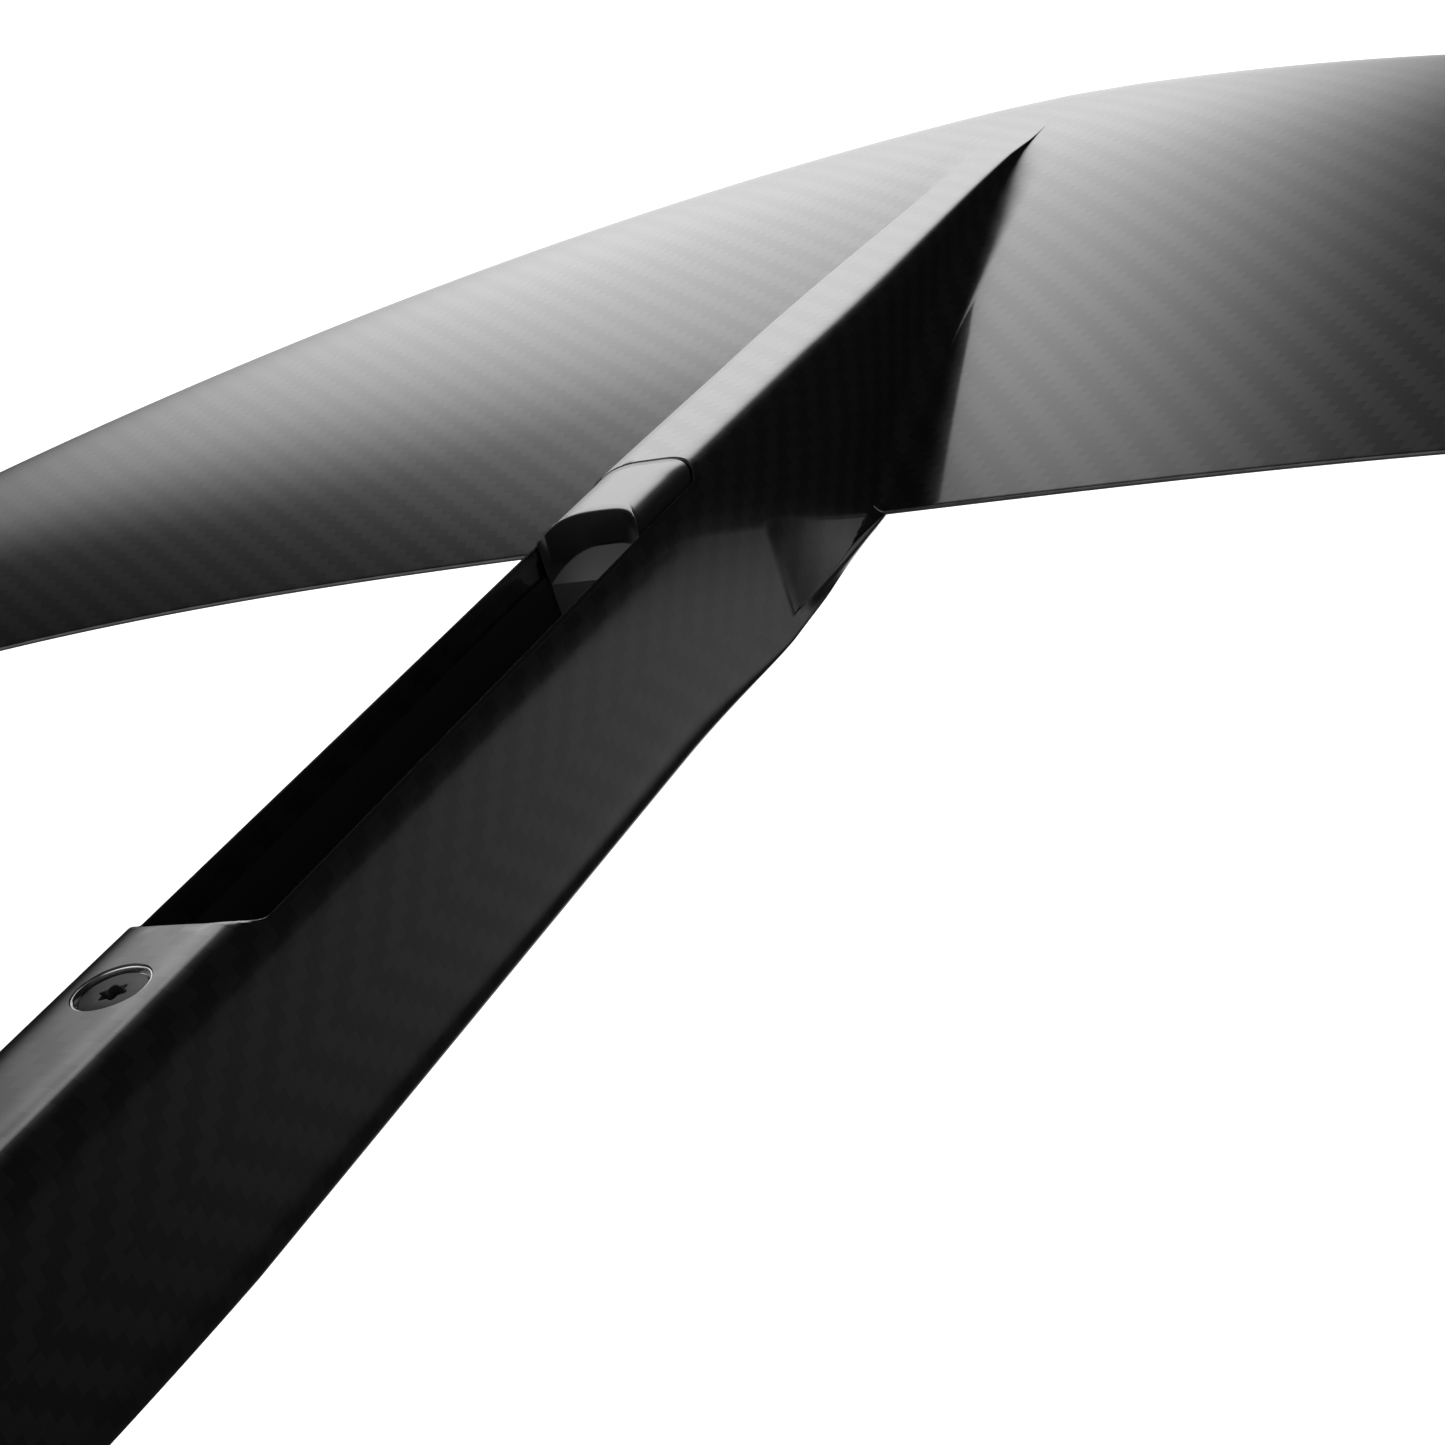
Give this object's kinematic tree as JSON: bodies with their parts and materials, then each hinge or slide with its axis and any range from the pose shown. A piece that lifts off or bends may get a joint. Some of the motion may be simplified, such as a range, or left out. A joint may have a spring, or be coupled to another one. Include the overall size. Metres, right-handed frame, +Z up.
{
  "type": "hydrofoil front wing",
  "caption": "Swept carbon-fibre hydrofoil front wing with an integral fuselage, a deep mast socket, a lift-out slot filler, a countersunk mast screw and a flat stabiliser pad.",
  "frame": {"origin": "centre of the mast seat, the flat floor of the mast socket", "axes": "+Z up out of the socket towards the mast, -Y towards the nose, +Y towards the tail, X along the span with starboard at -X"},
  "size_m": [0.8814, 0.7347, 0.0561],
  "materials": {
    "carbon_twill": "satin clear-coated carbon twill",
    "foam": "rigid foam core",
    "spar_carbon": "moulded unidirectional carbon",
    "socket_carbon": "moulded black composite",
    "filler": "satin coated composite",
    "dark_steel": "black-coated stainless steel",
    "bright_steel": "turned stainless steel",
    "brass": "turned",
    "rubber": "soft matte",
    "cap_plastic": "moulded matte"
  },
  "bodies": {
    "wing": {"upper_skin": "carbon_twill", "lower_skin": "carbon_twill", "port_core": "foam", "starboard_core": "foam", "nose_core": "foam", "tail_core": "foam", "main_spar": "spar_carbon", "mast_socket": "socket_carbon", "filler_block": "socket_carbon", "screw_seat": "bright_steel", "mast_screw_insert": "brass", "stabiliser_pad": "spar_carbon", "stabiliser_insert_front": "brass", "stabiliser_insert_rear": "brass", "tail_cap": "cap_plastic"},
    "filler": {"slot_filler": "filler"},
    "seal": {"screw_seal": "rubber"},
    "screw": {"mast_screw": "dark_steel"}
  },
  "joints": [
    {"name": "filler_lift", "type": "slide", "parent": "wing", "child": "filler", "axis": [0, 0, 1], "range_m": [0, 0.014]},
    {"name": "screw_travel", "type": "slide", "parent": "wing", "child": "seal", "axis": [0, 0, 1], "range_m": [0, 0.014]},
    {"name": "screw_turn", "type": "hinge", "parent": "seal", "child": "screw", "pos_m": [0, 0.1053, 0.037], "axis": [0, 0, 1], "range_deg": [0, 5041]}
  ],
  "couplings": [
    {"joint": "screw_turn", "follows": "screw_travel", "rad_per_m": 6283.2}
  ]
}
